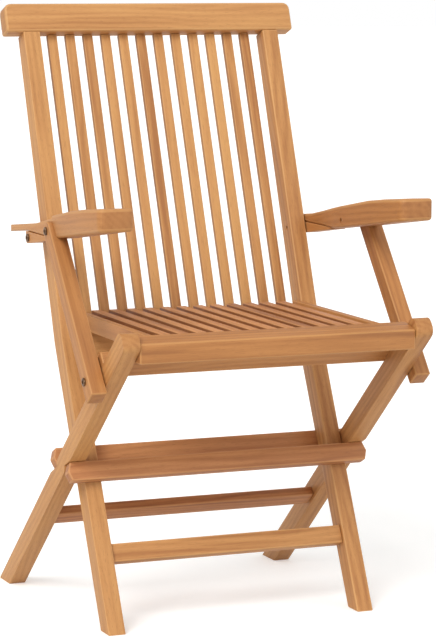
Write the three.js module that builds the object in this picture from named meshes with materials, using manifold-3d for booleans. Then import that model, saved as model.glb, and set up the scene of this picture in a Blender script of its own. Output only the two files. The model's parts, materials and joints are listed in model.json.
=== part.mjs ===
// A folding armchair in solid teak: a tall slatted back, a slatted seat that slides up the back,
// a crossed pair of leg frames and two arms on swinging supports.
// Millimetres, +Z up, +Y to the back, +X to the sitter's left. The feet stand on z = 0.
// The back posts and the front legs are one board each, here called stiles.

import * as THREE from 'three';
import { mergeVertices } from 'three/addons/utils/BufferGeometryUtils.js';
import Module from 'manifold-3d';

const wasm = await Module();
wasm.setup();

// Clearances
const GLUE_GAP = 0.3;
const SLIDE_GAP = 1.5;
const BOLT_GAP = 0.3;
const STOP_GAP = 0.5;
const SWING_GAP = 0.5;
const CUT_OVERRUN = 5;

// Stiles: front leg below the knee, back post above it
const STILE_INNER_X = 185;
const STILE_THICK = 26;
const FRONT_LEG_LEAN = 26.05;
const BACK_LEAN = 20.55;
const KNEE_HEIGHT = 408;
const STILE_HEIGHT = 856.6;
const STILE_FOOT_DEPTH = 31;
const STILE_KNEE_DEPTH = 35;
const STILE_TOP_DEPTH = 29;

// Back
const TOP_RAIL_HALF_LENGTH = 237;
const TOP_RAIL_TALL = 45;
const TOP_RAIL_THICK = 28;
const TOP_RAIL_CORNER = 12;
const BACK_SLATS = 12;
const BACK_SLAT_WIDE = 15;
const BACK_SLAT_THICK = 9;
const BACK_SLAT_SETBACK = 16;
const BACK_SLAT_OUTER_GAP = 17.5;
const LOWER_RAIL_SETBACK = 4;
const LOWER_RAIL_TALL = 56;
const FRONT_STRETCHER_THICK = 20;
const FRONT_STRETCHER_TALL = 27.5;
const FRONT_STRETCHER_UP = 109.5;
const FRONT_STRETCHER_SETBACK = 5.3;

// Bars across the stiles at the crossing, which stop the open legs
const BAR_THICK = 19;
const BAR_TALL = 28.5;
const BAR_FROM_CROSSING = 4.5;
const BAR_PAST_LEG = 2.5;
const BAR_POINT = 5;

// Rear legs, which cross the stiles and carry the seat's front
const LEG_LEAN = 49.3;
const LEG_THICK = 25.5;
const LEG_DEPTH = 31;
const CROSSING_HEIGHT = 228;
const LEG_REACH = 318;
const LEG_TOP_PAST_PIVOT = 20.6;
const LEG_TOP_CORNER = 14;
const LEG_PIN_COVER = 6;
const SEAT_BAR_THICK = 20;
const SEAT_BAR_TALL = 39;
const REAR_STRETCHER_TALL = 29;
const REAR_STRETCHER_THICK = 15;
const REAR_STRETCHER_DOWN = 126;
const REAR_STRETCHER_SETBACK = 4;

// Seat, measured from its front pivot
const SEAT_ABOVE_PIVOT = 9.6;
const SEAT_RAIL_TALL = 24;
const SEAT_RAIL_THICK = 11;
const SEAT_PAST_BACK = 8;
const SEAT_SLATS = 12;
const SEAT_SLAT_WIDE = 15;
const SEAT_SLAT_THICK = 9;
const SEAT_SLAT_OUTER_GAP = 13.8;
const SEAT_REAR_RAIL_DEPTH = 24;
const SEAT_SIDE_GAP = 2;
const FRONT_RAIL_DEPTH = 33;
const FRONT_RAIL_AHEAD = 17;
const FRONT_RAIL_BELOW = 23.2;
const FRONT_RAIL_LIP = 5.6;
const FRONT_RAIL_SLOPE = 8;

// Arms, measured from the pivot on the stile
const ARM_PIVOT_HEIGHT = 552;
const ARM_AHEAD = 359.5;
const ARM_TAIL = 86;
const ARM_SIDE_GAP = 2;
const ARM_TAIL_WIDE = 26;
const ARM_INNER_LIP = 8;
const ARM_OUTER_LIP = 19;
const ARM_CORNER = 13;
const ARM_TAIL_CORNER = 6;
const ARM_FRONT_THICK = 32;
const ARM_TAIL_THICK = 10;
const ARM_BELLY_RISE = 32.5;
const ARM_TAIL_DROP = 7.5;
// Places along the arm from its tail, each with its share of the rise at the top and at the belly
const ARM_CROWN_SHARES = [[0.249, 0.196], [0.424, 0.429], [0.584, 0.625], [0.732, 0.804], [0.857, 0.911]];
const ARM_BELLY_SHARES = [[0.465, 0], [0.689, 0.414]];
const INNER_TAPER_SHARES = [0.339, 0.514];
const CLEAT_ABOVE_PIVOT = 9;
const CLEAT_BELOW_PIVOT = 10;
const CLEAT_AHEAD = 100;
const CLEAT_NOSE = 3;
const CLEAT_BEHIND = 11.5;
const CLEAT_CORNER = 9;

// Arm supports
const SUPPORT_THICK = 24;
const SUPPORT_DEPTH = 27;
const SUPPORT_SIDE_GAP = 1;
const SUPPORT_TOP_AHEAD = 154.2;
const SUPPORT_TOP_UP = 25;
const SUPPORT_FOOT_UP_LEG = 233;
const SUPPORT_PAST_FOOT = 28.4;
const SUPPORT_SHOULDER_GAP = 0.8;

// Bolts, and the pins inside the legs
const BOLT_DIAMETER = 6;
const BOLT_HEAD_DIAMETER = 12;
const BOLT_HEAD_HEIGHT = 3;
const BOLT_END_COVER = 2;
const SEAT_PIN_DEPTH = 38;
const BOLT_SIDES = 16;
const CORNER_STEPS = 5;

// Places that follow from the sizes
const radians = THREE.MathUtils.degToRad;
const frontTan = Math.tan(radians(FRONT_LEG_LEAN));
const frontCos = Math.cos(radians(FRONT_LEG_LEAN));
const backTan = Math.tan(radians(BACK_LEAN));
const backCos = Math.cos(radians(BACK_LEAN));
const stileOuterX = STILE_INNER_X + STILE_THICK;
const legInnerX = stileOuterX + SLIDE_GAP;
const legOuterX = legInnerX + LEG_THICK;
const armInnerX = stileOuterX + ARM_SIDE_GAP;
const armOuterX = armInnerX + ARM_TAIL_WIDE;
const supportInnerX = armOuterX + SUPPORT_SIDE_GAP;
const supportOuterX = supportInnerX + SUPPORT_THICK;
const betweenStiles = STILE_INNER_X - GLUE_GAP;
const betweenLegs = legInnerX - GLUE_GAP;
const pinEnd = legOuterX - LEG_PIN_COVER;
const kneeFront = new THREE.Vector2(KNEE_HEIGHT * frontTan, KNEE_HEIGHT);
const stileTopFront = new THREE.Vector2(
  kneeFront.x + (STILE_HEIGHT - KNEE_HEIGHT) * backTan,
  STILE_HEIGHT,
);

// Pivots in the side view, as distance back from the front feet and height
const crossing = new THREE.Vector2(
  CROSSING_HEIGHT * frontTan + STILE_KNEE_DEPTH / (frontCos + frontCos),
  CROSSING_HEIGHT,
);
const legUp = new THREE.Vector2(-Math.sin(radians(LEG_LEAN)), Math.cos(radians(LEG_LEAN)));
const seatPivot = crossing.clone().addScaledVector(legUp, LEG_REACH);
const armPivot = new THREE.Vector2(
  kneeFront.x + (ARM_PIVOT_HEIGHT - KNEE_HEIGHT) * backTan + STILE_TOP_DEPTH / (backCos + backCos),
  ARM_PIVOT_HEIGHT,
);
const supportTop = new THREE.Vector2(armPivot.x - SUPPORT_TOP_AHEAD, armPivot.y + SUPPORT_TOP_UP);
const supportFoot = crossing.clone().addScaledVector(legUp, SUPPORT_FOOT_UP_LEG);
const supportSpan = supportTop.distanceTo(supportFoot);
const supportLean = Math.atan2(supportTop.x - supportFoot.x, supportTop.y - supportFoot.y);

const teak = (name, color, roughness) => new THREE.MeshStandardMaterial({ name, color, roughness });
const frameTeak = teak('frame_teak', 0xc08a52, 0.62);
const slatTeak = teak('slat_teak', 0xc99560, 0.6);
const armTeak = teak('arm_teak', 0xc08850, 0.58);
const boltSteel = new THREE.MeshStandardMaterial({
  name: 'bolt_steel', color: 0x5c5348, roughness: 0.45, metalness: 0.9,
});

// Solids from three.js geometry, for joining and cutting
function toSolid(geometry) {
  const bare = geometry.clone();
  bare.deleteAttribute('normal');
  bare.deleteAttribute('uv');
  const merged = mergeVertices(bare);
  const vertProperties = new Float32Array(merged.attributes.position.array);
  const triVerts = new Uint32Array(merged.index.array);
  return new wasm.Manifold(new wasm.Mesh({ numProp: 3, vertProperties, triVerts }));
}

function toGeometry(solid) {
  const mesh = solid.getMesh();
  const geometry = new THREE.BufferGeometry();
  geometry.setAttribute('position', new THREE.BufferAttribute(mesh.vertProperties, 3));
  geometry.setIndex(new THREE.BufferAttribute(mesh.triVerts, 1));
  geometry.computeVertexNormals();
  return geometry;
}

// An outline from corners [u, v, cut], where cut is how far the corner is rounded along its sides
function outline(corners) {
  const shape = new THREE.Shape();
  const last = corners.length - 1;
  corners.forEach(([u, v, cut = 0], index) => {
    const here = new THREE.Vector2(u, v);
    const before = new THREE.Vector2(...corners[index === 0 ? last : index - 1].slice(0, 2));
    const after = new THREE.Vector2(...corners[index === last ? 0 : index + 1].slice(0, 2));
    const enter = here.clone().add(before.sub(here).setLength(cut));
    const leave = here.clone().add(after.sub(here).setLength(cut));
    if (index === 0) shape.moveTo(enter.x, enter.y);
    else shape.lineTo(enter.x, enter.y);
    if (cut > 0) shape.quadraticCurveTo(here.x, here.y, leave.x, leave.y);
  });
  return shape;
}

function prism(shape, depth) {
  return new THREE.ExtrudeGeometry(shape, { depth, bevelEnabled: false, curveSegments: CORNER_STEPS });
}

// A board whose outline is drawn in the side view, from one x to another
const sideView = new THREE.Matrix4().makeBasis(
  new THREE.Vector3(0, 1, 0),
  new THREE.Vector3(0, 0, 1),
  new THREE.Vector3(1, 0, 0),
);
function sideBoard(corners, fromX, toX) {
  return prism(outline(corners), toX - fromX).applyMatrix4(sideView).translate(fromX, 0, 0);
}

// A board whose outline is drawn in the front view, from one depth to another
const frontView = new THREE.Matrix4().makeBasis(
  new THREE.Vector3(1, 0, 0),
  new THREE.Vector3(0, 0, 1),
  new THREE.Vector3(0, -1, 0),
);
function frontBoard(corners, fromY, toY) {
  return prism(outline(corners), toY - fromY).applyMatrix4(frontView).translate(0, toY, 0);
}

// A straight box from its low and high corners
function box(low, high) {
  const size = new THREE.Vector3().subVectors(high, low);
  const middle = new THREE.Vector3().addVectors(low, high).multiplyScalar(1 / 2);
  return new THREE.BoxGeometry(size.x, size.y, size.z).translate(middle.x, middle.y, middle.z);
}

function rod(diameter, fromX, toX, y, z) {
  const length = toX - fromX;
  return new THREE.CylinderGeometry(diameter / 2, diameter / 2, length, BOLT_SIDES)
    .rotateZ(-Math.PI / 2).translate(fromX + length / 2, y, z);
}

const holeDiameter = BOLT_DIAMETER + BOLT_GAP + BOLT_GAP;

function bored(geometry, holes) {
  const cut = holes.reduce((solid, hole) => solid.subtract(toSolid(hole)), toSolid(geometry));
  return toGeometry(cut);
}

// The same piece on the other side of the chair
function mirrored(geometry) {
  const copy = geometry.clone();
  copy.scale(-1, 1, 1);
  const index = copy.index ? Array.from(copy.index.array) : [...Array(copy.attributes.position.count).keys()];
  for (let corner = 0; corner < index.length; corner += 3) {
    [index[corner + 1], index[corner + 2]] = [index[corner + 2], index[corner + 1]];
  }
  copy.setIndex(index);
  copy.computeVertexNormals();
  return copy;
}

function place(group, name, geometry, material, x = 0) {
  const mesh = new THREE.Mesh(geometry, material);
  mesh.name = name;
  mesh.position.x = x;
  group.add(mesh);
}

function placePair(group, name, geometry, material) {
  place(group, `${name}_right`, geometry, material);
  place(group, `${name}_left`, mirrored(geometry), material);
}

// Slats side by side with equal gaps, between a first and a last centre alike to both sides
function placeSlats(group, name, geometry, material, count, outerCentre) {
  const pitch = (outerCentre + outerCentre) / (count - 1);
  for (let slat = 0; slat < count; slat += 1) {
    const label = `${name}_${String(slat + 1).padStart(2, '0')}`;
    place(group, label, geometry, material, slat * pitch - outerCentre);
  }
}

function leaning(parent, origin, angle) {
  const group = new THREE.Group();
  group.position.set(0, origin.x, origin.y);
  group.rotation.x = -angle;
  parent.add(group);
  return group;
}

// Stile: one board bent at the knee, with its foot cut level
function stile() {
  const miterHalf = radians((FRONT_LEG_LEAN - BACK_LEAN) / 2);
  const miterLean = radians(BACK_LEAN) + miterHalf;
  const kneeDepth = STILE_KNEE_DEPTH / Math.cos(miterHalf);
  const corners = [
    [0, 0],
    [STILE_FOOT_DEPTH / frontCos, 0],
    [kneeFront.x + kneeDepth * Math.cos(miterLean), kneeFront.y - kneeDepth * Math.sin(miterLean)],
    [
      stileTopFront.x + STILE_TOP_DEPTH * backCos,
      stileTopFront.y - STILE_TOP_DEPTH * Math.sin(radians(BACK_LEAN)),
    ],
    [stileTopFront.x, stileTopFront.y],
    [kneeFront.x, kneeFront.y],
  ];
  const start = STILE_INNER_X - CUT_OVERRUN;
  const end = stileOuterX + CUT_OVERRUN;
  return bored(sideBoard(corners, STILE_INNER_X, stileOuterX), [
    rod(holeDiameter, start, end, crossing.x, crossing.y),
    rod(holeDiameter, start, end, armPivot.x, armPivot.y),
  ]);
}

// Back pieces stand in a frame whose z runs up the back posts and whose y runs behind their front
const backLength = (STILE_HEIGHT - KNEE_HEIGHT) / backCos;
const slatFront = BACK_SLAT_SETBACK;
const slatBack = slatFront + BACK_SLAT_THICK;

function topRail() {
  const foot = backLength + GLUE_GAP;
  const top = foot + TOP_RAIL_TALL;
  const corners = [
    [-TOP_RAIL_HALF_LENGTH, foot],
    [TOP_RAIL_HALF_LENGTH, foot],
    [TOP_RAIL_HALF_LENGTH, top, TOP_RAIL_CORNER],
    [-TOP_RAIL_HALF_LENGTH, top, TOP_RAIL_CORNER],
  ];
  return frontBoard(corners, 0, TOP_RAIL_THICK);
}

// Height of the level top of the lower back rail, which the seat's rear rests on
const seatUnderside = seatPivot.y + SEAT_ABOVE_PIVOT - SEAT_RAIL_TALL;
const lowerRailTop = seatUnderside - GLUE_GAP;

// Where a level cut at a height meets a line that runs up the back at some depth
function upTheBack(height, depth) {
  return (height - KNEE_HEIGHT + depth * Math.sin(radians(BACK_LEAN))) / backCos;
}

function backSlat() {
  const half = BACK_SLAT_WIDE / 2;
  const level = lowerRailTop + GLUE_GAP;
  const corners = [
    [slatFront, upTheBack(level, slatFront)],
    [slatBack, upTheBack(level, slatBack)],
    [slatBack, backLength],
    [slatFront, backLength],
  ];
  return sideBoard(corners, -half, half);
}

function lowerBackRail() {
  const front = LOWER_RAIL_SETBACK;
  const foot = upTheBack(lowerRailTop, front) - LOWER_RAIL_TALL;
  const corners = [
    [front, foot],
    [TOP_RAIL_THICK, foot],
    [TOP_RAIL_THICK, upTheBack(lowerRailTop, TOP_RAIL_THICK)],
    [front, upTheBack(lowerRailTop, front)],
  ];
  return sideBoard(corners, -betweenStiles, betweenStiles);
}

function frontStretcher() {
  const front = FRONT_STRETCHER_SETBACK;
  const foot = FRONT_STRETCHER_UP;
  return box(
    new THREE.Vector3(-betweenStiles, front, foot),
    new THREE.Vector3(betweenStiles, front + FRONT_STRETCHER_THICK, foot + FRONT_STRETCHER_TALL),
  );
}

// The bars lie on the stiles' two faces, one on each side of the crossing
const frontBarFace = STILE_KNEE_DEPTH / 2 + GLUE_GAP;
const rearBarTop = CROSSING_HEIGHT + (BAR_FROM_CROSSING + BAR_TALL) * frontCos;
const rearBarDepth = THREE.MathUtils.lerp(STILE_FOOT_DEPTH, STILE_KNEE_DEPTH, rearBarTop / KNEE_HEIGHT);
const rearBarFace = rearBarDepth - STILE_KNEE_DEPTH / 2 + GLUE_GAP;

// A bar across both stiles and in front of or behind both legs, with its ends cut to a blunt point
function pointedBar(foot, fromY) {
  const middle = foot + BAR_TALL / 2;
  const tip = legOuterX + BAR_PAST_LEG;
  const shoulder = tip - BAR_POINT;
  const corners = [
    [-shoulder, foot],
    [shoulder, foot],
    [tip, middle],
    [shoulder, foot + BAR_TALL],
    [-shoulder, foot + BAR_TALL],
    [-tip, middle],
  ];
  return frontBoard(corners, fromY, fromY + BAR_THICK);
}

function buildBackFrame(chair) {
  const frame = new THREE.Group();
  chair.add(frame);
  placePair(frame, 'stile', stile(), frameTeak);
  const crossed = leaning(frame, crossing, radians(FRONT_LEG_LEAN));
  const frontBar = pointedBar(-BAR_FROM_CROSSING - BAR_TALL, -frontBarFace - BAR_THICK);
  place(crossed, 'crossbar_front', frontBar, frameTeak);
  place(crossed, 'crossbar_rear', pointedBar(BAR_FROM_CROSSING, rearBarFace), frameTeak);
  const lower = leaning(frame, new THREE.Vector2(0, 0), radians(FRONT_LEG_LEAN));
  place(lower, 'front_stretcher', frontStretcher(), frameTeak);
  const upper = leaning(frame, kneeFront, radians(BACK_LEAN));
  place(upper, 'top_rail', topRail(), frameTeak);
  place(upper, 'lower_back_rail', lowerBackRail(), frameTeak);
  const outerSlat = STILE_INNER_X - BACK_SLAT_OUTER_GAP - BACK_SLAT_WIDE / 2;
  placeSlats(upper, 'back_slat', backSlat(), slatTeak, BACK_SLATS, outerSlat);
}

// Leg pieces stand in a frame at the crossing whose z runs up the leg and whose y faces up and back
const legHalf = LEG_DEPTH / 2;
const seatBarFace = legHalf + GLUE_GAP;

// Room in the leg for a bar: all past the bar's edge, outside the circle on which its corner swings
function barNotch(face) {
  const reach = LEG_DEPTH + BAR_TALL;
  const start = legInnerX - CUT_OVERRUN;
  const end = legOuterX + CUT_OVERRUN;
  const past = toSolid(box(
    new THREE.Vector3(start, 0, BAR_FROM_CROSSING - STOP_GAP),
    new THREE.Vector3(end, reach, reach),
  ));
  const swing = Math.hypot(face, BAR_FROM_CROSSING) - SWING_GAP;
  const hub = toSolid(rod(swing + swing, start - CUT_OVERRUN, end + CUT_OVERRUN, 0, 0));
  return toGeometry(past.subtract(hub)).rotateX(-radians(FRONT_LEG_LEAN + LEG_LEAN));
}

function rearLeg() {
  const drop = CROSSING_HEIGHT / Math.cos(radians(LEG_LEAN));
  const slant = legHalf * Math.tan(radians(LEG_LEAN));
  const top = LEG_REACH + LEG_TOP_PAST_PIVOT;
  const corners = [
    [-legHalf, -drop + slant],
    [legHalf, -drop - slant],
    [legHalf, top, LEG_TOP_CORNER],
    [-legHalf, top, LEG_TOP_CORNER],
  ];
  const start = legInnerX - CUT_OVERRUN;
  const end = pinEnd + BOLT_GAP;
  return bored(sideBoard(corners, legInnerX, legOuterX), [
    rod(holeDiameter, start, end, 0, 0),
    rod(holeDiameter, start, end, 0, LEG_REACH),
    barNotch(rearBarFace),
    barNotch(frontBarFace).rotateX(Math.PI),
  ]);
}

function seatSupportBar() {
  const upperEdge = seatBarFace + SEAT_BAR_THICK;
  const rise = seatUnderside - GLUE_GAP - CROSSING_HEIGHT;
  const top = (rise - upperEdge * Math.sin(radians(LEG_LEAN))) / Math.cos(radians(LEG_LEAN));
  return box(
    new THREE.Vector3(-legOuterX, seatBarFace, top - SEAT_BAR_TALL),
    new THREE.Vector3(legOuterX, upperEdge, top),
  );
}

function rearStretcher() {
  const front = -legHalf + REAR_STRETCHER_SETBACK;
  return box(
    new THREE.Vector3(-betweenLegs, front, -REAR_STRETCHER_DOWN - REAR_STRETCHER_TALL),
    new THREE.Vector3(betweenLegs, front + REAR_STRETCHER_THICK, -REAR_STRETCHER_DOWN),
  );
}

// A bolt along x with its head at the outer end, turned from its profile
function bolt(fromX, headX, y, z) {
  const shank = BOLT_DIAMETER / 2;
  const head = BOLT_HEAD_DIAMETER / 2;
  const length = headX - fromX;
  const bevel = BOLT_HEAD_HEIGHT / 3;
  const profile = [
    new THREE.Vector2(0, 0),
    new THREE.Vector2(shank, 0),
    new THREE.Vector2(shank, length),
    new THREE.Vector2(head, length),
    new THREE.Vector2(head, length + BOLT_HEAD_HEIGHT - bevel),
    new THREE.Vector2(head - bevel, length + BOLT_HEAD_HEIGHT),
    new THREE.Vector2(0, length + BOLT_HEAD_HEIGHT),
  ];
  return new THREE.LatheGeometry(profile, BOLT_SIDES).rotateZ(-Math.PI / 2).translate(fromX, y, z);
}

const stileBoltEnd = STILE_INNER_X + BOLT_END_COVER;

function buildLegFrame(chair) {
  const frame = leaning(chair, crossing, -radians(LEG_LEAN));
  placePair(frame, 'rear_leg', rearLeg(), frameTeak);
  place(frame, 'seat_support_bar', seatSupportBar(), frameTeak);
  place(frame, 'rear_stretcher', rearStretcher(), frameTeak);
  const seatPin = rod(BOLT_DIAMETER, betweenLegs - SEAT_PIN_DEPTH, pinEnd, 0, LEG_REACH);
  placePair(frame, 'crossing_pin', rod(BOLT_DIAMETER, stileBoltEnd, pinEnd, 0, 0), boltSteel);
  placePair(frame, 'seat_pin', seatPin, boltSteel);
}

// Seat pieces are level, in a frame at the seat's front pivot
const railBack = FRONT_RAIL_DEPTH - FRONT_RAIL_AHEAD;
const seatFront = railBack + GLUE_GAP;
const seatRear = LEG_REACH + SEAT_PAST_BACK;
const seatBottom = SEAT_ABOVE_PIVOT - SEAT_RAIL_TALL;
const sideRailOuterX = STILE_INNER_X - SEAT_SIDE_GAP;
const sideRailInnerX = sideRailOuterX - SEAT_RAIL_THICK;

function seatFrontRail() {
  const half = legInnerX - SLIDE_GAP / 2;
  const corners = [
    [-FRONT_RAIL_AHEAD, -FRONT_RAIL_BELOW],
    [railBack, -FRONT_RAIL_BELOW],
    [railBack, FRONT_RAIL_LIP + FRONT_RAIL_SLOPE],
    [-FRONT_RAIL_AHEAD, FRONT_RAIL_LIP],
  ];
  const blind = half - SEAT_PIN_DEPTH - CUT_OVERRUN;
  const end = half + CUT_OVERRUN;
  return bored(sideBoard(corners, -half, half), [
    rod(holeDiameter, blind, end, 0, 0),
    rod(holeDiameter, -end, -blind, 0, 0),
  ]);
}

function seatSideRail() {
  return box(
    new THREE.Vector3(sideRailInnerX, seatFront, seatBottom),
    new THREE.Vector3(sideRailOuterX, seatRear, SEAT_ABOVE_PIVOT),
  );
}

function seatRearRail() {
  const half = sideRailInnerX - GLUE_GAP;
  const top = SEAT_ABOVE_PIVOT - SEAT_SLAT_THICK - GLUE_GAP;
  return box(
    new THREE.Vector3(-half, seatRear - SEAT_REAR_RAIL_DEPTH, seatBottom),
    new THREE.Vector3(half, seatRear, top),
  );
}

function seatSlat() {
  const half = SEAT_SLAT_WIDE / 2;
  return box(
    new THREE.Vector3(-half, seatFront, SEAT_ABOVE_PIVOT - SEAT_SLAT_THICK),
    new THREE.Vector3(half, seatRear, SEAT_ABOVE_PIVOT),
  );
}

function buildSeat(chair) {
  const seat = leaning(chair, seatPivot, 0);
  place(seat, 'seat_front_rail', seatFrontRail(), frameTeak);
  place(seat, 'seat_rear_rail', seatRearRail(), frameTeak);
  placePair(seat, 'seat_side_rail', seatSideRail(), frameTeak);
  const outerSlat = sideRailInnerX - SEAT_SLAT_OUTER_GAP - SEAT_SLAT_WIDE / 2;
  placeSlats(seat, 'seat_slat', seatSlat(), slatTeak, SEAT_SLATS, outerSlat);
}

// The arm's side outline, from the tail along the belly to the front and back over the crown
function armSide() {
  const length = ARM_AHEAD + ARM_TAIL;
  const belly = CLEAT_ABOVE_PIVOT + GLUE_GAP;
  const tailFoot = belly - ARM_TAIL_DROP;
  const tailTop = tailFoot + ARM_TAIL_THICK;
  const frontTop = belly + ARM_BELLY_RISE + ARM_FRONT_THICK;
  const along = (share) => ARM_TAIL - share * length;
  const under = ARM_BELLY_SHARES.map(([share, rise]) => [along(share), belly + rise * ARM_BELLY_RISE]);
  const over = ARM_CROWN_SHARES.map(([share, rise]) => [along(share), tailTop + rise * (frontTop - tailTop)]);
  const corners = [
    [ARM_TAIL, tailFoot],
    [CLEAT_BEHIND, belly],
    ...under,
    [-ARM_AHEAD, belly + ARM_BELLY_RISE],
    [-ARM_AHEAD, frontTop],
    ...over.reverse(),
    [ARM_TAIL, tailTop],
  ];
  return corners.reverse();
}

// The arm's plan: wide in front, and slimmed on its inner side to pass outside the stile
function armPlan() {
  const length = ARM_AHEAD + ARM_TAIL;
  const [taperEnd, taperStart] = INNER_TAPER_SHARES.map((share) => ARM_TAIL - share * length);
  const inner = armInnerX - ARM_INNER_LIP;
  const outer = armOuterX + ARM_OUTER_LIP;
  return [
    [inner, -ARM_AHEAD, ARM_CORNER],
    [outer, -ARM_AHEAD, ARM_CORNER],
    [outer, 0],
    [armOuterX, 0],
    [armOuterX, ARM_TAIL, ARM_TAIL_CORNER],
    [armInnerX, ARM_TAIL, ARM_TAIL_CORNER],
    [armInnerX, taperEnd],
    [inner, taperStart],
  ];
}

// What is cut from the arm's outer side so that the support can stand and swing there
function supportShoulder() {
  const setback = SUPPORT_DEPTH / 2 + SUPPORT_SHOULDER_GAP;
  const reach = ARM_AHEAD;
  const up = new THREE.Vector2(Math.sin(supportLean), Math.cos(supportLean));
  const ahead = new THREE.Vector2(-up.y, up.x);
  const top = new THREE.Vector2(-SUPPORT_TOP_AHEAD, SUPPORT_TOP_UP);
  const face = top.clone().addScaledVector(ahead, setback);
  const corners = [
    face.clone().addScaledVector(up, -reach),
    face.clone().addScaledVector(up, -reach).addScaledVector(ahead, -reach),
    face.clone().addScaledVector(up, reach).addScaledVector(ahead, -reach),
    face.clone().addScaledVector(up, reach),
  ].map((point) => [point.x, point.y]);
  return sideBoard(corners, armOuterX, armOuterX + ARM_OUTER_LIP + CUT_OVERRUN);
}

function arm() {
  const inner = armInnerX - ARM_INNER_LIP - CUT_OVERRUN;
  const outer = armOuterX + ARM_OUTER_LIP + CUT_OVERRUN;
  const slab = toSolid(sideBoard(armSide(), inner, outer));
  const plan = toSolid(prism(outline(armPlan()), ARM_AHEAD).translate(0, 0, -CLEAT_BELOW_PIVOT));
  const shaped = slab.intersect(plan).subtract(toSolid(supportShoulder()));
  const hole = rod(holeDiameter, inner, outer, -SUPPORT_TOP_AHEAD, SUPPORT_TOP_UP);
  return toGeometry(shaped.subtract(toSolid(hole)));
}

// The block under the arm's tail, which thins to its nose and so carries on the belly's line
function armCleat() {
  const corners = [
    [-CLEAT_AHEAD, CLEAT_ABOVE_PIVOT - CLEAT_NOSE],
    [CLEAT_BEHIND, -CLEAT_BELOW_PIVOT, CLEAT_CORNER],
    [CLEAT_BEHIND, CLEAT_ABOVE_PIVOT],
    [-CLEAT_AHEAD, CLEAT_ABOVE_PIVOT],
  ];
  const start = armInnerX - CUT_OVERRUN;
  const end = armOuterX + CUT_OVERRUN;
  return bored(sideBoard(corners, armInnerX, armOuterX), [rod(holeDiameter, start, end, 0, 0)]);
}

function armSupport() {
  const half = SUPPORT_DEPTH / 2;
  const foot = -supportSpan - SUPPORT_PAST_FOOT;
  const corners = [
    [-half, foot],
    [half, foot],
    [half, half, half],
    [-half, half, half],
  ];
  const start = supportInnerX - CUT_OVERRUN;
  const end = supportOuterX + CUT_OVERRUN;
  return bored(sideBoard(corners, supportInnerX, supportOuterX), [
    rod(holeDiameter, start, end, 0, 0),
    rod(holeDiameter, start, end, 0, -supportSpan),
  ]);
}

function buildArms(chair) {
  const arms = leaning(chair, armPivot, 0);
  placePair(arms, 'arm', arm(), armTeak);
  placePair(arms, 'arm_cleat', armCleat(), armTeak);
  placePair(arms, 'arm_bolt', bolt(stileBoltEnd, armOuterX + BOLT_GAP, 0, 0), boltSteel);
  const supports = leaning(chair, supportTop, supportLean);
  const topBolt = bolt(armInnerX + BOLT_END_COVER, supportOuterX + BOLT_GAP, 0, 0);
  const footBolt = bolt(legOuterX + BOLT_GAP, supportOuterX + BOLT_GAP, 0, -supportSpan);
  placePair(supports, 'arm_support', armSupport(), armTeak);
  placePair(supports, 'support_top_bolt', topBolt, boltSteel);
  placePair(supports, 'support_foot_bolt', footBolt, boltSteel);
}

// The chair, centred front to back on the floor
const group = new THREE.Group();
const chair = new THREE.Group();
group.add(chair);
buildBackFrame(chair);
buildLegFrame(chair);
buildSeat(chair);
buildArms(chair);
chair.updateMatrixWorld(true);
const span = new THREE.Box3().setFromObject(chair, true);
chair.position.y = -(span.min.y + span.max.y) / 2;
chair.updateMatrixWorld(true);

export default group;
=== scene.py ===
"""Dresses a folding teak armchair: softened boards with grain along each board, and dulled bolts.

The frame gives every board and bolt at its real place. Each board is drawn again with its edges
rounded over, and carries its own grain as attributes: a place along, across and through the board
in metres, a tone, how far a face is end grain, how far it turns towards x, where the slats get
painted shade, and its rounded edges, paler for wear and as a painted highlight.
"""
import json
import logging
import math
from abc import ABC, abstractmethod
from dataclasses import dataclass
from enum import Enum

import bmesh
import bpy
import numpy as np
from mathutils import Matrix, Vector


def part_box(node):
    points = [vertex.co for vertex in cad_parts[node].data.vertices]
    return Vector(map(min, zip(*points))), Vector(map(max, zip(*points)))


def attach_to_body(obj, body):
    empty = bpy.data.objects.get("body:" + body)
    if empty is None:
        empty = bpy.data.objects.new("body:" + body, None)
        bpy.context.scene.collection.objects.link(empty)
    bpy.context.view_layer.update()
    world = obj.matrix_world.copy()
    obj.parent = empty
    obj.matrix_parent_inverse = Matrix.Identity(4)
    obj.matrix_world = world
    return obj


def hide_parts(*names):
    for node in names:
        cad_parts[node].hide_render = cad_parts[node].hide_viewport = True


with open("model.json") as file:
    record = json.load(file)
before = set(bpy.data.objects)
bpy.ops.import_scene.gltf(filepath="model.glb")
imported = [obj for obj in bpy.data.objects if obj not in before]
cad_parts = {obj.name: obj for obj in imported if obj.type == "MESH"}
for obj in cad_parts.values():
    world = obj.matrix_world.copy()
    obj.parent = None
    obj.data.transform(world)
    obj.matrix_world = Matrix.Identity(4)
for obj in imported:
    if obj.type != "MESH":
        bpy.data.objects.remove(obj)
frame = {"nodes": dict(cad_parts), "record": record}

log = logging.getLogger("armchair")

Colour = tuple[float, float, float, float]
Socket = bpy.types.NodeSocket
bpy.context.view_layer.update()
FULL_CHANNEL = 255
RIGHT_ANGLE = 90.0
# The sRGB curve: a straight line up to its knee, and a power above it
SRGB_KNEE = 0.04045
SRGB_SLOPE = 12.92
SRGB_OFFSET = 0.055
SRGB_POWER = 2.4


def shade(red: int, green: int, blue: int) -> Colour:
    """A screen colour from 0 to 255 as the linear colour that a shader takes.

    Args:
        red: Amount of red.
        green: Amount of green.
        blue: Amount of blue.

    Returns:
        Linear red, green, blue and an alpha of 1.
    """
    screen = np.array([red, green, blue]) / FULL_CHANNEL
    curved = ((screen + SRGB_OFFSET) / (1 + SRGB_OFFSET)) ** SRGB_POWER
    linear = np.where(screen <= SRGB_KNEE, screen / SRGB_SLOPE, curved)
    return (*linear.tolist(), 1.0)


BLACK = shade(0, 0, 0)
WHITE = shade(255, 255, 255)


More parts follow.
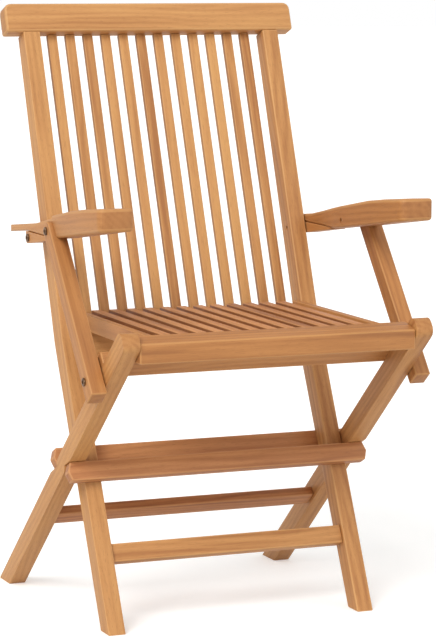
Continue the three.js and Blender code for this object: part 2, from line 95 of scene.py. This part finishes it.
@dataclass(frozen=True)
class Waves:
    """Noise: waves per metre along and across a piece, octaves, and the finer octaves' weight."""

    along: float
    across: float
    octaves: float
    fineness: float = 0.5


class MixSocket(Enum):
    """A mix node's sockets for colours, by number because their names repeat."""

    FACTOR = 0
    FIRST = 6
    SECOND = 7
    RESULT = 2


class Graph:
    """A node tree, with short calls that add a node and wire it."""

    def __init__(self, tree: bpy.types.NodeTree) -> None:
        """Takes over the node tree of a material or a world."""
        self.tree = tree

    def add(
        self, kind: str, inputs: dict[str | int, object] | None = None, **settings: object
    ) -> bpy.types.Node:
        """Adds a node, sets its options and fills or wires its inputs.

        Args:
            kind: The node's type, without the ShaderNode prefix.
            inputs: Values or output sockets, by input name or number.
            settings: Options of the node itself.

        Returns:
            The new node.
        """
        node = self.tree.nodes.new("ShaderNode" + kind)
        for option, value in settings.items():
            setattr(node, option, value)
        for key, value in (inputs or {}).items():
            self.feed(node, key, value)
        return node

    def feed(self, node: bpy.types.Node, key: str | int, value: object) -> None:
        """Wires an output socket into an input, or sets the input's own value.

        Args:
            node: The node that takes the value.
            key: The input's name or number.
            value: The output socket or the value.
        """
        if isinstance(value, Socket):
            self.tree.links.new(value, node.inputs[key])
        else:
            node.inputs[key].default_value = value

    def mark(self, name: str) -> Socket:
        """A number that the mesh carries as an attribute, as a socket."""
        return self.add("Attribute", attribute_name=name).outputs["Fac"]

    def maths(self, operation: str, *values: Socket | float) -> Socket:
        """One step of arithmetic on numbers or sockets, as a socket."""
        return self.add("Math", dict(enumerate(values)), operation=operation).outputs["Value"]

    def total(self, parts: list[tuple[Socket, float]]) -> Socket:
        """Adds sockets up in order, each times its share.

        Args:
            parts: The sockets with their shares.

        Returns:
            The sum as a socket.
        """
        result, *others = [self.maths("MULTIPLY", part, share) for part, share in parts]
        for other in others:
            result = self.maths("ADD", result, other)
        return result

    def noise(self, place: Socket, waves: Waves) -> Socket:
        """Noise on a stretched copy of a place, from about 0 to 1.

        Args:
            place: The coordinates.
            waves: How the noise runs along and across the piece.

        Returns:
            The noise as a socket.
        """
        scale = (waves.along, waves.across, waves.across)
        stretched = self.add("VectorMath", {0: place, 1: scale}, operation="MULTIPLY")
        inputs = {
            "Vector": stretched.outputs["Vector"], "Scale": 1.0,
            "Detail": waves.octaves, "Roughness": waves.fineness,
        }
        return self.add("TexNoise", inputs).outputs["Fac"]

    def ramp(self, factor: Socket, stops: list[tuple[float, Colour]]) -> Socket:
        """A colour ramp.

        Args:
            factor: Where on the ramp the colour is read.
            stops: Places on the ramp in rising order, each with its colour.

        Returns:
            The colour as a socket.
        """
        node = self.add("ValToRGB", {"Fac": factor})
        elements = node.color_ramp.elements
        for position, _ in stops[len(elements):]:
            elements.new(position)
        for element, (position, colour) in zip(elements, stops):
            element.position = position
            element.color = colour
        return node.outputs["Color"]

    def mix(self, factor: Socket, first: Socket, second: Colour) -> Socket:
        """Mixes two colours.

        Args:
            factor: The share of the second colour.
            first: The first colour.
            second: The second colour.

        Returns:
            The mixed colour as a socket.
        """
        inputs = {
            MixSocket.FACTOR.value: factor,
            MixSocket.FIRST.value: first,
            MixSocket.SECOND.value: second,
        }
        return self.add("Mix", inputs, data_type="RGBA").outputs[MixSocket.RESULT.value]

    def bump(self, height: Socket, strength: float, depth: float) -> Socket:
        """Turns a height, with its depth in metres, into a bent normal as a socket."""
        inputs = {"Height": height, "Strength": strength, "Distance": depth}
        return self.add("Bump", inputs).outputs["Normal"]

    def seen(self) -> Socket:
        """Tells rays that look from the light that falls on things.

        Returns:
            1 for rays from the camera, a gloss or a glass, and 0 for all others, as a socket.
        """
        path = self.add("LightPath").outputs
        seen = self.maths("MAXIMUM", path["Is Camera Ray"], path["Is Glossy Ray"])
        return self.maths("MAXIMUM", seen, path["Is Transmission Ray"])


class Surface(Graph):
    """A new material, as a graph with its shader."""

    def __init__(self, name: str) -> None:
        """Starts the material with its shader and output.

        Args:
            name: The material's name.
        """
        self.material = bpy.data.materials.new(name)
        self.material.use_nodes = True
        super().__init__(self.material.node_tree)

    def finished(self, sockets: dict[str, object]) -> bpy.types.Material:
        """Fills or wires the shader's own sockets.

        Args:
            sockets: Values or output sockets, by the name of the shader's input.

        Returns:
            The material.
        """
        shader = self.tree.nodes["Principled BSDF"]
        for name, value in sockets.items():
            self.feed(shader, name, value)
        return self.material


@dataclass(frozen=True)
class Palette:
    """The colours of one kind of board: four depths of wood, its edges and its pores."""

    light: Colour
    honey: Colour
    brown: Colour
    dark: Colour
    # Paler colour of the rounded edges: wear, and a painted highlight
    wear_and_highlight: Colour
    # Pores; also the painted shade on the slats' sides
    pore: Colour = shade(133, 84, 46)


class Teak(Enum):
    """The kinds of teak, from the pale frame to the reddish heartwood."""

    FRAME = Palette(
        light=shade(200, 147, 88), honey=shade(192, 137, 81), brown=shade(180, 125, 71),
        dark=shade(162, 106, 57), wear_and_highlight=shade(211, 162, 105),
    )
    # The seat's pore colour is deeper, as it also paints the shade in the gaps between seat slats
    SEAT = Palette(
        light=shade(200, 138, 85), honey=shade(189, 127, 77), brown=shade(175, 115, 67),
        dark=shade(152, 96, 54), wear_and_highlight=shade(213, 156, 101), pore=shade(124, 72, 34),
    )
    ARM = Palette(
        light=shade(190, 132, 77), honey=shade(180, 122, 68), brown=shade(168, 111, 60),
        dark=shade(148, 94, 50), wear_and_highlight=shade(201, 148, 90),
    )
    HEART = Palette(
        light=shade(197, 138, 86), honey=shade(185, 125, 77), brown=shade(171, 111, 66),
        dark=shade(146, 91, 54), wear_and_highlight=shade(210, 154, 100),
    )


@dataclass(frozen=True)
class TeakFinish:
    """Sanded and oiled teak, whose pattern runs along each board's own grain."""

    name: str
    teak: Teak = Teak.FRAME
    slot: str = "teak_frame"
    tone_share: float = 0.09
    # Share of the pore colour painted as shade on faces that turn towards x, the slats' sides
    side_shade_share: float = 0.0
    sway: Waves = Waves(along=2.6, across=12.0, octaves=2.0)
    clouds: Waves = Waves(along=4.0, across=24.0, octaves=3.0)
    streaks: Waves = Waves(along=4.5, across=130.0, octaves=4.0, fineness=0.55)
    fibres: Waves = Waves(along=22.0, across=900.0, octaves=2.0)
    pores: Waves = Waves(along=80.0, across=1700.0, octaves=1.0)
    ring_spacing: float = 0.0088
    ring_sway: float = 0.045
    ring_share: float = 0.06
    streak_share: float = 0.58
    cloud_share: float = 0.36
    fibre_share: float = 0.14
    depth_stops: tuple[float, float, float, float] = (0.30, 0.44, 0.57, 0.74)
    pore_stops: tuple[float, float] = (0.60, 0.70)
    pore_share: float = 0.4
    end_share: float = 0.45
    # Share of the paler edge colour on rounded edges: wear and a painted highlight
    edge_wear_highlight_share: float = 0.45
    roughness: float = 0.54
    gloss_spread: float = 0.16
    specular: float = 0.42
    hollow_share: float = 0.8
    bump_strength: float = 0.2
    bump_depth: float = 0.0004

    def material(self) -> bpy.types.Material:
        """Builds the wood: its colour, its gloss and its fine relief.

        Returns:
            The material.
        """
        surface = Surface(self.name)
        place = surface.add("Attribute", attribute_name="grain").outputs["Vector"]
        streak = surface.noise(place, self.streaks)
        fibre = surface.noise(place, self.fibres)
        pore = surface.ramp(
            surface.noise(place, self.pores), list(zip(self.pore_stops, (BLACK, WHITE))),
        )
        depth = surface.total([
            (self.rings(surface, place), self.ring_share),
            (streak, self.streak_share),
            (surface.noise(place, self.clouds), self.cloud_share),
            (fibre, self.fibre_share),
            (surface.mark("tone"), self.tone_share),
        ])
        least_rough = self.roughness - self.gloss_spread / 2
        hollows = surface.maths("MULTIPLY", pore, self.hollow_share)
        relief = surface.maths("SUBTRACT", surface.maths("ADD", streak, fibre), hollows)
        return surface.finished({
            "Base Color": self.colour(surface, depth, pore),
            "Roughness": surface.maths("MULTIPLY_ADD", streak, self.gloss_spread, least_rough),
            "Specular IOR Level": self.specular,
            "Normal": surface.bump(relief, self.bump_strength, self.bump_depth),
        })

    def rings(self, surface: Surface, place: Socket) -> Socket:
        """Growth rings: the sine of the distance from the tree's heart, which sways.

        Args:
            surface: The material's graph.
            place: The place in the board, with the heart at 0 across and through it.

        Returns:
            A wave from -1 to 1 as a socket.
        """
        axes = surface.add("SeparateXYZ", {"Vector": place}).outputs
        across = surface.maths("MULTIPLY", axes["Y"], axes["Y"])
        through = surface.maths("MULTIPLY", axes["Z"], axes["Z"])
        radius = surface.maths("SQRT", surface.maths("ADD", across, through))
        sway = surface.maths("MULTIPLY", surface.noise(place, self.sway), self.ring_sway)
        swayed = surface.maths("ADD", radius, sway)
        turn = surface.maths("MULTIPLY", swayed, math.tau / self.ring_spacing)
        return surface.maths("SINE", turn)

    def colour(self, surface: Surface, depth: Socket, pore: Socket) -> Socket:
        """The wood by its depth, with dark pores and ends, painted shade on the sides, and edges
        paler for wear and a painted highlight over it.

        Args:
            surface: The material's graph.
            depth: How light the wood is, from the pattern and the board's tone.
            pore: 1 in a pore and 0 outside it.

        Returns:
            The colour as a socket.
        """
        tints = self.teak.value
        depths = (tints.dark, tints.brown, tints.honey, tints.light)
        wood = surface.ramp(depth, list(zip(self.depth_stops, depths)))
        layers = [
            (pore, self.pore_share, tints.pore),
            (surface.mark("end"), self.end_share, tints.dark),
            # Painted shade on the slats' sides, in the pore colour
            (surface.mark("side"), self.side_shade_share, tints.pore),
            # Rounded edges paler for wear and as a painted highlight
            (surface.mark("edge"), self.edge_wear_highlight_share, tints.wear_and_highlight),
        ]
        for mask, share, tint in layers:
            wood = surface.mix(surface.maths("MULTIPLY", mask, share), wood, tint)
        return wood


@dataclass(frozen=True)
class BoltFinish:
    """Steel bolts, dulled and browned by weather."""

    name: str
    slot: str = "bolts"
    steel: Colour = shade(132, 104, 78)
    stain: Colour = shade(84, 56, 36)
    patches: Waves = Waves(along=320.0, across=320.0, octaves=4.0, fineness=0.6)
    scratches: Waves = Waves(along=300.0, across=2600.0, octaves=2.0)
    stain_stops: tuple[float, float] = (0.38, 0.66)
    metallic: float = 0.85
    least_rough: float = 0.32
    gloss_spread: float = 0.25
    bump_strength: float = 0.2
    bump_depth: float = 0.0001

    def material(self) -> bpy.types.Material:
        """Builds the steel, with stains in patches and fine scratches.

        Returns:
            The material.
        """
        surface = Surface(self.name)
        place = surface.add("TexCoord").outputs["Object"]
        patch = surface.noise(place, self.patches)
        scratch = surface.noise(place, self.scratches)
        tints = list(zip(self.stain_stops, (self.stain, self.steel)))
        gloss = surface.maths("MULTIPLY_ADD", scratch, self.gloss_spread, self.least_rough)
        return surface.finished({
            "Base Color": surface.ramp(patch, tints),
            "Metallic": self.metallic,
            "Roughness": gloss,
            "Normal": surface.bump(scratch, self.bump_strength, self.bump_depth),
        })


class Edge(Enum):
    """How far a board's edges are rounded over at most, in metres."""

    FINE = 0.0012
    EASED = 0.0020
    ROUNDED = 0.0032
    SOFT = 0.0045


FRAME_TEAK = TeakFinish("frame_teak")
# The slats' sides take painted shade, strongest in the gaps of the seat
BACK_TEAK = TeakFinish("back_teak", Teak.FRAME, "teak_slats", tone_share=0.2, side_shade_share=0.45)
SEAT_TEAK = TeakFinish("seat_teak", Teak.SEAT, "teak_slats", tone_share=0.2, side_shade_share=0.88)
ARM_TEAK = TeakFinish("arm_teak", Teak.ARM, "teak_arms")
RAIL_TEAK = TeakFinish("rail_teak", Teak.ARM)
HEART_TEAK = TeakFinish("heart_teak", Teak.HEART)
DULLED_STEEL = BoltFinish("dulled_steel")

# A board takes the first entry whose word is in its name, and the empty word is in every name
WOOD_BY_WORD = {
    "back_slat": BACK_TEAK, "seat_slat": SEAT_TEAK, "arm": ARM_TEAK, "crossbar": HEART_TEAK,
    "rear_stretcher": HEART_TEAK, "seat": RAIL_TEAK, "": FRAME_TEAK,
}
EDGE_BY_WORD = {
    "slat": Edge.FINE, "side_rail": Edge.FINE, "arm_cleat": Edge.EASED, "arm_support": Edge.EASED,
    "arm_": Edge.SOFT, "top_rail": Edge.ROUNDED, "rear_leg": Edge.ROUNDED, "": Edge.EASED,
}


def vectors(items: bpy.types.bpy_prop_collection, name: str) -> np.ndarray:
    """Reads one vector for each point or face of a mesh.

    Args:
        items: The points or faces.
        name: What is read from each.

    Returns:
        One row for each point or face.
    """
    values = np.empty((len(items), 3))
    items.foreach_get(name, values.ravel())
    return values


def attach(mesh: bpy.types.Mesh, name: str, domain: str, values: np.ndarray) -> None:
    """Writes one number or one vector for each point or face as an attribute.

    Args:
        mesh: The mesh.
        name: The attribute's name.
        domain: POINT or FACE.
        values: One number or one row for each.
    """
    kind, key = ("FLOAT", "value") if values.ndim == 1 else ("FLOAT_VECTOR", "vector")
    mesh.attributes.new(name, kind, domain).data.foreach_set(key, values.ravel())


def smooth(mesh: bpy.types.Mesh, sharp_angle: float) -> None:
    """Shades a mesh smooth, but for edges between faces that meet at more than the sharp angle."""
    mesh.polygons.foreach_set("use_smooth", np.ones(len(mesh.polygons), bool))
    mesh.set_sharp_from_angle(angle=sharp_angle)


@dataclass
class Piece(ABC):
    """A piece that is drawn again from its node and takes the node's place."""

    node: str
    finish: TeakFinish | BoltFinish

    @abstractmethod
    def mesh(self) -> bpy.types.Mesh:
        """Draws the piece, as a mesh of the piece's name."""

    def build(self, body: str, material: bpy.types.Material) -> bpy.types.Object:
        """Draws the piece, gives it its finish and lets it ride on its body.

        Args:
            body: The body that the piece moves with.
            material: The finish as a material.

        Returns:
            The piece's object.
        """
        mesh = self.mesh()
        mesh.materials.append(material)
        piece = bpy.data.objects.new(mesh.name, mesh)
        bpy.context.scene.collection.objects.link(piece)
        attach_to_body(piece, body)
        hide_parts(self.node)
        return piece


@dataclass
class Board(Piece):
    """A board with softened edges and its own grain."""

    edge: Edge
    seed: int
    rounds: int = 3
    roundness: float = 0.5
    sharp_angle: float = math.radians(28)
    flat_angle: float = math.radians(0.6)
    merge_distance: float = 2e-6
    rim_step: float = 0.0025
    along_reach: float = 20.0
    heart_distance: tuple[float, float] = (0.03, 0.09)
    end_power: int = 3
    side_shade_power: int = 4

    def mesh(self) -> bpy.types.Mesh:
        """Draws the board and writes its grain on it.

        Returns:
            The board's mesh.
        """
        mesh = self.softened()
        self.add_grain(mesh)
        return mesh

    def softened(self) -> bpy.types.Mesh:
        """The node's solid with its flat faces joined and its sharp edges rounded over.

        Edges no longer than rim_step, which are the rims of holes and a few others, stay sharp.
        Soft edges are rounded in full. The rest are clamped, and there a board's tightest spot
        limits all its edges: the rear legs stay nearly sharp, and the cleats and the left stile
        get less than their edge asks for.

        Returns:
            The new mesh, with its rounded faces marked 1 in the face attribute edge.
        """
        solid = bmesh.new()
        solid.from_mesh(frame["nodes"][self.node].data)
        bmesh.ops.remove_doubles(solid, verts=solid.verts, dist=self.merge_distance)
        bmesh.ops.dissolve_limit(
            solid, angle_limit=self.flat_angle, verts=solid.verts, edges=solid.edges,
        )
        sharp = [
            line for line in solid.edges
            if line.calc_face_angle(0) > self.sharp_angle and line.calc_length() > self.rim_step
        ]
        bevel = bmesh.ops.bevel(
            solid, geom=sharp, offset=self.edge.value, offset_type="OFFSET", segments=self.rounds,
            profile=self.roundness, affect="EDGES", clamp_overlap=self.edge is not Edge.SOFT,
        )
        solid.faces.index_update()
        rounded = [face.index for face in bevel["faces"]]
        bmesh.ops.recalc_face_normals(solid, faces=solid.faces)
        mesh = bpy.data.meshes.new(f"{self.node}_oiled")
        solid.to_mesh(mesh)
        solid.free()
        marks = np.zeros(len(mesh.polygons))
        marks[rounded] = 1
        attach(mesh, "edge", "FACE", marks)
        smooth(mesh, self.sharp_angle)
        return mesh

    def add_grain(self, mesh: bpy.types.Mesh) -> None:
        """Writes the board's own coordinates, tone, end grain and the painted shade of its sides
        on it.

        The board's three axes are the principal directions of its corners: the longest is the
        grain. A corner's place is its distance along each axis, plus a random start for the board,
        which puts the heart of the tree outside it. How far a face is end grain is the size of
        its normal's share along the grain to a power, and the painted shade of the slats' sides is
        the same for x.

        Args:
            mesh: The board's mesh, changed in place.
        """
        draw = np.random.default_rng(self.seed)
        points = vectors(mesh.vertices, "co")
        centred = points - (points.min(0) + points.max(0)) / 2
        axes = np.linalg.svd(centred, full_matrices=False)[2]
        axes *= np.sign(axes[np.arange(3), np.abs(axes).argmax(1)])[:, None]
        ranges = [(-self.along_reach, self.along_reach), self.heart_distance, self.heart_distance]
        start = np.array([draw.uniform(low, high) for low, high in ranges])
        attach(mesh, "grain", "POINT", centred @ axes.T + start)
        attach(mesh, "tone", "POINT", np.full(len(points), draw.uniform(-1, 1)))
        normals = vectors(mesh.polygons, "normal")
        attach(mesh, "end", "FACE", np.abs(normals @ axes[0]) ** self.end_power)
        # Painted shade for the slats' sides: how far each face turns towards x
        attach(mesh, "side", "FACE", np.abs(normals[:, 0]) ** self.side_shade_power)


@dataclass
class Bolt(Piece):
    """A bolt along x: a shank, and a low domed head with a six-sided socket at the outer end."""

    steps: int = 48
    shank: float = 0.003
    head: float = 0.003
    dome: float = 0.0009
    dome_steps: int = 6
    rim: float = 0.0005
    socket_sides: int = 6
    socket_flat: float = 0.0042
    socket_depth: float = 0.0019
    mouth_share: float = 1.16
    sharp_angle: float = math.radians(35)

    def mesh(self) -> bpy.types.Mesh:
        """Draws the bolt as a turned surface, as long and as wide as its node.

        Returns:
            The bolt's mesh.
        """
        low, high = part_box(self.node)
        outward = 1 if low.x + high.x > 0 else -1
        rows = self.profile(high.x - low.x, (high.z - low.z) / 2)
        points, faces = self.turned(rows, outward)
        tip = low.x if outward > 0 else high.x
        points += np.array([tip, (low.y + high.y) / 2, (low.z + high.z) / 2])
        mesh = bpy.data.meshes.new(f"{self.node}_dulled")
        mesh.from_pydata(points, [], faces)
        smooth(mesh, self.sharp_angle)
        return mesh

    def profile(self, length: float, head_radius: float) -> np.ndarray:
        """The outline from the bolt's tip to the floor of its socket.

        The dome lies below the bolt's full length by its height times the square of its radius
        as a share of the head's.

        Args:
            length: The whole bolt's length.
            head_radius: The head's radius.

        Returns:
            Rows of distance from the tip, radius, and 1 where the row is six-sided or else 0.
        """
        seat = length - self.head
        socket = self.socket_flat / 2
        across = np.linspace(0, 1, self.dome_steps, endpoint=False)
        dome_radius = head_radius - self.rim - across * (head_radius - self.rim - socket)
        dome_height = length - self.dome * (dome_radius / head_radius) ** 2
        dome = np.stack([dome_height, dome_radius, np.zeros_like(across)], 1)
        start = [
            [0, self.shank - self.rim, 0],
            [self.rim, self.shank, 0],
            [seat, self.shank, 0],
            [seat, head_radius - self.rim, 0],
            [seat + self.rim, head_radius, 0],
            [length - self.dome - self.rim, head_radius, 0],
        ]
        end = [
            [length, socket * self.mouth_share, 1],
            [length - self.rim, socket, 1],
            [length - self.socket_depth, socket, 1],
        ]
        return np.array([*start, *dome.tolist(), *end])

    def turned(self, rows: np.ndarray, outward: int) -> tuple[np.ndarray, list[list[int]]]:
        """Turns the profile about x.

        A point is its row's radius times the cosine and sine of its angle. On six-sided rows the
        radius is divided by the cosine of the angle from the nearest flat's middle.

        Args:
            rows: The profile.
            outward: 1 where the head faces +x, and -1 where it faces -x.

        Returns:
            Points and faces, with both ends closed.
        """
        angle = np.arange(self.steps) * math.tau / self.steps
        sector = math.tau / self.socket_sides
        flat = 1 / np.cos((angle + sector / 2) % sector - sector / 2)
        radius = rows[:, 1:2] * (1 - rows[:, 2:3] + rows[:, 2:3] * flat)
        points = np.stack([
            np.repeat(rows[:, :1] * outward, self.steps, 1),
            radius * np.cos(angle),
            radius * np.sin(angle) * outward,
        ], -1).reshape(-1, 3)
        ring = np.arange(self.steps)
        after = np.roll(ring, -1)
        base = np.arange(len(rows) - 1)[:, None] * self.steps
        above = base + self.steps
        quads = np.stack([base + ring, above + ring, above + after, base + after], -1)
        faces = quads.reshape(-1, 4)[:, ::-1].tolist()
        faces.append(ring[::-1].tolist())
        faces.append((ring + (len(rows) - 1) * self.steps).tolist())
        return points, faces


@dataclass
class SubAssembly:
    """The boards and bolts that move together."""

    body: str
    number: int
    seed_step: int = 100

    def build(self, materials: dict[str, bpy.types.Material]) -> list[str]:
        """Dresses every node of the body.

        Args:
            materials: The materials by the names of their finishes.

        Returns:
            The names of the pieces.
        """
        nodes = frame["record"]["behaviour"]["bodies"][self.body]
        first = self.seed_step * self.number
        return [self.dress(node, seed, materials) for seed, node in enumerate(nodes, first)]

    def dress(self, node: str, seed: int, materials: dict[str, bpy.types.Material]) -> str:
        """Draws a bolt or a board in place of its node, or gives a hidden pin its steel.

        Args:
            node: The node's name.
            seed: Seed of a board's grain.
            materials: The materials by the names of their finishes.

        Returns:
            The piece's name.
        """
        if "_pin_" in node:
            frame["nodes"][node].material_slots[0].material = materials[DULLED_STEEL.name]
            return node
        if "_bolt_" in node:
            piece = Bolt(node, DULLED_STEEL)
        else:
            wood, edge = self.choice(node, WOOD_BY_WORD), self.choice(node, EDGE_BY_WORD)
            piece = Board(node, wood, edge, seed)
        return piece.build(self.body, materials[piece.finish.name]).name

    def choice(self, node: str, table: dict[str, TeakFinish | Edge]) -> TeakFinish | Edge:
        """The first entry whose word is in the node's name."""
        return next(value for word, value in table.items() if word in node)


def rotation(degrees: float, axis: str) -> Matrix:
    """A turn about an axis, as a matrix of four rows."""
    return Matrix.Rotation(math.radians(degrees), 4, axis)


@dataclass(frozen=True)
class Lamp:
    """A broad lamp far away: its light, its width in degrees, and its turns from straight down."""

    name: str
    strength: float
    softness: float
    turns: tuple[float, float, float]

    def build(self) -> None:
        """Puts the lamp in the scene."""
        light = bpy.data.lights.new(self.name, "SUN")
        light.energy = self.strength
        light.angle = math.radians(self.softness)
        lamp = bpy.data.objects.new(self.name, light)
        lamp.rotation_euler = [math.radians(angle) for angle in self.turns]
        bpy.context.scene.collection.objects.link(lamp)


@dataclass
class Studio:
    """A pale floor, soft light and the camera at the photograph's angle."""

    camera_place: tuple[float, float, float] = (-1.5706, -3.8042, 0.9748)
    camera_turn: float = 22.66
    camera_dip: float = 7.52
    camera_roll: float = 0.19
    camera_reach: float = 200.0
    focal_pixels: float = 2774.7
    frame_pixels: tuple[int, int] = (436, 640)
    sensor: float = 36.0
    floor_half: float = 30.0
    floor_colour: Colour = shade(236, 236, 234)
    floor_roughness: float = 0.9
    floor_specular: float = 0.1
    floor_glow: float = 0.34
    world_level: float = 0.62
    lamps: tuple[Lamp, ...] = (
        Lamp("key", strength=2.0, softness=30, turns=(50, 0, -50)),
        Lamp("fill", strength=0.5, softness=60, turns=(62, 0, 30)),
    )

    def build(self) -> None:
        """Makes the floor, the lamps, the world and the camera."""
        self.make_floor()
        for lamp in self.lamps:
            lamp.build()
        self.make_world()
        self.make_camera()

    def make_floor(self) -> None:
        """A square on z = 0, brightened for the camera alone so that it keeps the shadow."""
        half = self.floor_half
        corners = [(-half, -half, 0), (half, -half, 0), (half, half, 0), (-half, half, 0)]
        mesh = bpy.data.meshes.new("floor")
        mesh.from_pydata(corners, [], [(0, 1, 2, 3)])
        floor = bpy.data.objects.new("floor", mesh)
        bpy.context.scene.collection.objects.link(floor)
        surface = Surface("pale_floor")
        mesh.materials.append(surface.finished({
            "Base Color": self.floor_colour,
            "Roughness": self.floor_roughness,
            "Specular IOR Level": self.floor_specular,
            "Emission Color": WHITE,
            "Emission Strength": surface.maths("MULTIPLY", surface.seen(), self.floor_glow),
        }))

    def make_world(self) -> None:
        """A plain white world, at full white where it is seen and lower as light."""
        world = bpy.data.worlds.new("studio")
        world.use_nodes = True
        bpy.context.scene.world = world
        graph = Graph(world.node_tree)
        inputs = {"Value": graph.seen(), "To Min": self.world_level, "To Max": 1.0}
        ground = world.node_tree.nodes["Background"]
        graph.feed(ground, "Color", WHITE)
        graph.feed(ground, "Strength", graph.add("MapRange", inputs).outputs["Result"])

    def make_camera(self) -> None:
        """The camera, from a fit of the photograph's straight edges."""
        scene = bpy.context.scene
        data = bpy.data.cameras.new("camera")
        data.sensor_width = self.sensor
        data.lens = self.focal_pixels / max(self.frame_pixels) * self.sensor
        data.clip_end = self.camera_reach
        camera = bpy.data.objects.new("camera", data)
        turn = rotation(-self.camera_turn, "Z")
        dip = rotation(RIGHT_ANGLE - self.camera_dip, "X")
        roll = rotation(self.camera_roll, "Z")
        camera.matrix_world = Matrix.Translation(self.camera_place) @ turn @ dip @ roll
        scene.collection.objects.link(camera)
        scene.camera = camera
        scene.view_settings.view_transform = "Standard"


def main() -> None:
    """Builds the studio and the sub-assemblies in order, and reports each piece."""
    logging.basicConfig(level=logging.INFO, format="%(name)s %(message)s")
    Studio().build()
    finishes = (FRAME_TEAK, BACK_TEAK, SEAT_TEAK, ARM_TEAK, RAIL_TEAK, HEART_TEAK, DULLED_STEEL)
    materials = {finish.name: finish.material() for finish in finishes}
    for number, body in enumerate(frame["record"]["behaviour"]["bodies"], 1):
        for piece in SubAssembly(body, number).build(materials):
            log.info("%s: %s", body, piece)


if __name__ == "__main__":
    main()
